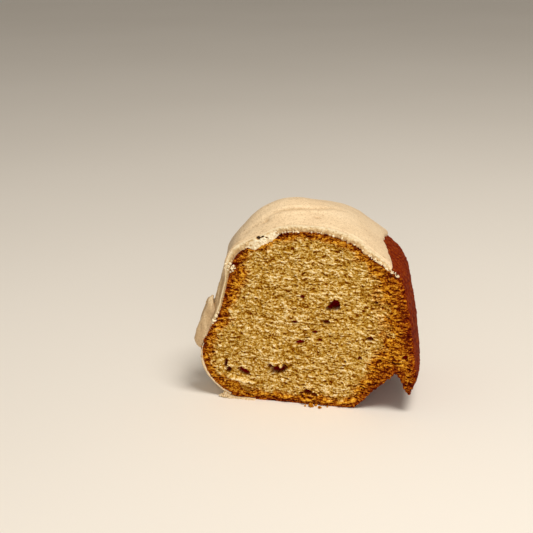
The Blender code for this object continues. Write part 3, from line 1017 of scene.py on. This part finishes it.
def crust_material():
    """Deep red-brown crust, mottled, painted lighter on its raised bumps and darker in its dips as painted light and
    shade, with a thin film of glaze where it ran down.
    """
    material, tree, shader = new_material("crust", 0.75)
    shader.inputs["Specular IOR Level"].default_value = 0.05
    mottle = texture(tree, "noise", 900, 5)
    level = calculate(tree, "MULTIPLY_ADD", mottle.outputs["Fac"], 1.4, -0.40)
    # Painted light and shade: the crust is lighter where it stands up and darker in its dips.
    level = calculate(tree, "MULTIPLY_ADD", attribute(tree, "lift"), 0.35, level)
    colour = ramp(tree, level, (
        (0.05, (0.05, 0.0008, 0.0001)), (0.35, (0.135, 0.008, 0.0002)), (0.60, (0.225, 0.026, 0.0004)),
        (1.00, (0.44, 0.115, 0.005)),
    ))
    patchy = texture(tree, "noise", 500, 4)
    covered = ramp(tree, patchy.outputs["Fac"], ((0.35, (0.2, 0.2, 0.2)), (0.55, (1, 1, 1))))
    film = calculate(tree, "MULTIPLY", attribute(tree, "film"), covered)
    colour = mix(tree, film, colour, (0.78, 0.62, 0.42))
    tree.links.new(colour, shader.inputs["Base Color"])
    fine = texture(tree, "noise", 1500, 4)
    bump(tree, shader, fine.outputs["Fac"], 0.7, 0.0005)
    return material


def glaze_material():
    """Set sugar glaze: warm ivory with fine brown specks, darker tan down the inner side and wall and browner in the
    creases as painted shade, and sugary where it is cut, with a painted highlight along the cut's top edge and painted
    shade in its dips and pits.
    """
    material, tree, shader = new_material("glaze", 0.5)
    cloud = texture(tree, "noise", 75, 4)
    base = ramp(tree, cloud.outputs["Fac"], (
        (0.3, (0.77, 0.545, 0.315)), (0.5, (0.85, 0.625, 0.370)), (0.7, (0.90, 0.68, 0.42)),
    ))
    streak = texture(tree, "noise", 420, 5, 0.35)
    # Painted shade for the inner side and drips: streaky darker tan.
    wall_shade_colour = ramp(tree, streak.outputs["Fac"], (
        (0.34, (0.34, 0.19, 0.070)), (0.50, (0.48, 0.30, 0.130)), (0.60, (0.62, 0.43, 0.22)), (0.70, (0.86, 0.69, 0.44)),
    ))
    colour = mix(tree, calculate(tree, "MULTIPLY", attribute(tree, "wall"), 0.9), base, wall_shade_colour)
    # Painted shade: the creases are painted browner.
    colour = mix(tree, calculate(tree, "MULTIPLY", attribute(tree, "crease_shade"), 0.65), colour, (0.56, 0.35, 0.16))
    dust = texture(tree, "noise", 1500, 4)
    shade = ramp(tree, dust.outputs["Fac"], ((0.30, (0.74, 0.71, 0.66)), (0.54, (1.0, 1.0, 1.0)), (0.7, (1.0, 1.0, 1.0))))
    colour = mix(tree, 1.0, colour, shade, "MULTIPLY")
    specks = texture(tree, "voronoi", 330)
    near = ramp(tree, specks.outputs["Distance"], ((0.10, (1, 1, 1)), (0.20, (0, 0, 0))))
    chosen = ramp(tree, texture(tree, "noise", 150, 1).outputs["Fac"], ((0.52, (0, 0, 0)), (0.58, (1, 1, 1))))
    speck = calculate(tree, "MULTIPLY", near, chosen)
    colour = mix(tree, calculate(tree, "MULTIPLY", speck, 0.7), colour, (0.46, 0.24, 0.09))
    grain = texture(tree, "noise", 1300, 3)
    depth = calculate(tree, "MULTIPLY_ADD", grain.outputs["Fac"], 0.6, -0.3)
    depth = calculate(tree, "ADD", attribute(tree, "deep"), depth)
    # The cut colour runs from near white, a painted highlight at the band's top edge and the sugar's own white on the
    # grains, through sugary tan to near-black painted shade in the pits.
    cut_colour = ramp(tree, depth, (
        (0.05, (1.0, 0.89, 0.65)), (0.28, (0.90, 0.73, 0.46)), (0.50, (0.66, 0.45, 0.21)), (0.80, (0.44, 0.24, 0.08)),
        (1.00, (0.05, 0.010, 0.002)),
    ))
    colour = mix(tree, attribute(tree, "cut"), colour, cut_colour)
    tree.links.new(colour, shader.inputs["Base Color"])
    fine = texture(tree, "noise", 700, 3)
    bump(tree, shader, fine.outputs["Fac"], 0.25, 0.0002)
    return material


# ---------------------------------------------------------------- floor, lights and camera

def build_floor():
    material, tree, shader = new_material("pale_floor", 0.7)
    cloud = texture(tree, "noise", 3, 2)
    colour = ramp(tree, cloud.outputs["Fac"], ((0.3, (0.86, 0.79, 0.69)), (0.7, (0.89, 0.82, 0.72))))
    tree.links.new(colour, shader.inputs["Base Color"])
    bpy.ops.mesh.primitive_plane_add(size=6)
    floor = bpy.context.object
    floor.name = "floor"
    floor.data.materials.append(material)


def area_light(name, location, size, watts, colour):
    """A square light that looks at the slice."""
    data = bpy.data.lights.new(name, "AREA")
    data.size = size
    data.energy = watts
    data.color = colour
    light = bpy.data.objects.new(name, data)
    light.location = location
    light.rotation_euler = (Vector((0, 0, 0.04)) - Vector(location)).to_track_quat("-Z", "Y").to_euler()
    bpy.context.scene.collection.objects.link(light)


def build_light():
    world = bpy.data.worlds.new("studio")
    world.use_nodes = True
    background = world.node_tree.nodes["Background"]
    background.inputs["Color"].default_value = (1.0, 0.94, 0.86, 1)
    background.inputs["Strength"].default_value = 0.30
    bpy.context.scene.world = world
    area_light("key", (0.28, -0.32, 0.98), 0.4, 8.5, (1.0, 0.98, 0.95))
    area_light("fill", (0.1, -0.9, 0.25), 0.5, 2.25, (1.0, 0.98, 0.95))
    bpy.context.scene.view_settings.view_transform = "Standard"


VIEW_AZIMUTH = math.radians(3)
VIEW_ELEVATION = math.radians(17.5)
VIEW_ROLL = math.radians(1.2)
VIEW_DISTANCE = 0.502
LENS = 81.05
SENSOR = 36


def build_camera():
    """A view of the front face, turned a little to the left and seen from slightly above."""
    a, e, r = VIEW_AZIMUTH, VIEW_ELEVATION, VIEW_ROLL
    back = Vector((math.sin(a) * math.cos(e), -math.cos(a) * math.cos(e), math.sin(e)))
    right = Vector((math.cos(a), math.sin(a), 0))
    up = back.cross(right)
    tilted_right = right * math.cos(r) - up * math.sin(r)
    tilted_up = right * math.sin(r) + up * math.cos(r)
    slice_middle = Vector(((AXIS_X + 80) * MM, 0, 0.0371))
    aim = slice_middle - tilted_right * 0.0182 + tilted_up * 0.01611
    data = bpy.data.cameras.new("camera")
    data.lens = LENS
    data.sensor_width = SENSOR
    camera = bpy.data.objects.new("camera", data)
    turn = Matrix((tilted_right, tilted_up, back)).transposed()
    camera.matrix_world = Matrix.Translation(aim + back * VIEW_DISTANCE) @ turn.to_4x4()
    bpy.context.scene.collection.objects.link(camera)
    bpy.context.scene.camera = camera


def hand_over(pieces, node):
    """Parents the pieces to the root body and hides the CAD node that they replace."""
    for piece in pieces:
        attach(piece, "root")
        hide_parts(node)


LOOSE_CRUMBS = ((82.8, -1.9, 0.9), (84.6, -0.9, 0.5), (86.6, -2.8, 0.65), (80.4, -2.4, 0.35), (89.5, -1.2, 0.3))

crumb_look = crumb_material()
glaze_look = glaze_material()
hand_over(build_cake(crumb_look, crust_material()), "cake")
loose = [
    (place(np.array([[distance, 0.55 * radius]]), FRONT)[0] - cut_direction(FRONT) * out, radius)
    for distance, out, radius in LOOSE_CRUMBS
]
hand_over([build_grains("loose_crumbs", loose, {"lit_pale": 0.6, "hole": 0, "brown": 0.4}, 400, crumb_look)], "cake")
cap_pieces = [
    build_glaze(glaze_look),
    build_smear(glaze_look),
    build_drip("glaze_drip_front", -DRIP_AT, 42.5, 20.3, glaze_look),
    build_drip("glaze_drip_back", DRIP_AT, 37.0, 24.0, glaze_look),
    build_grains("glaze_grains", sugar_spots(), {"cut": 1, "deep": 0.22}, 410, glaze_look),
]
hand_over(cap_pieces, "glaze")
pool_pieces = [
    build_film(glaze_look),
    build_pool(glaze_look),
    build_grains("pool_grains", pool_spots(), {"cut": 1, "deep": 0.35}, 420, glaze_look),
]
hand_over(pool_pieces, "glaze_pool")
build_floor()
build_light()
build_camera()
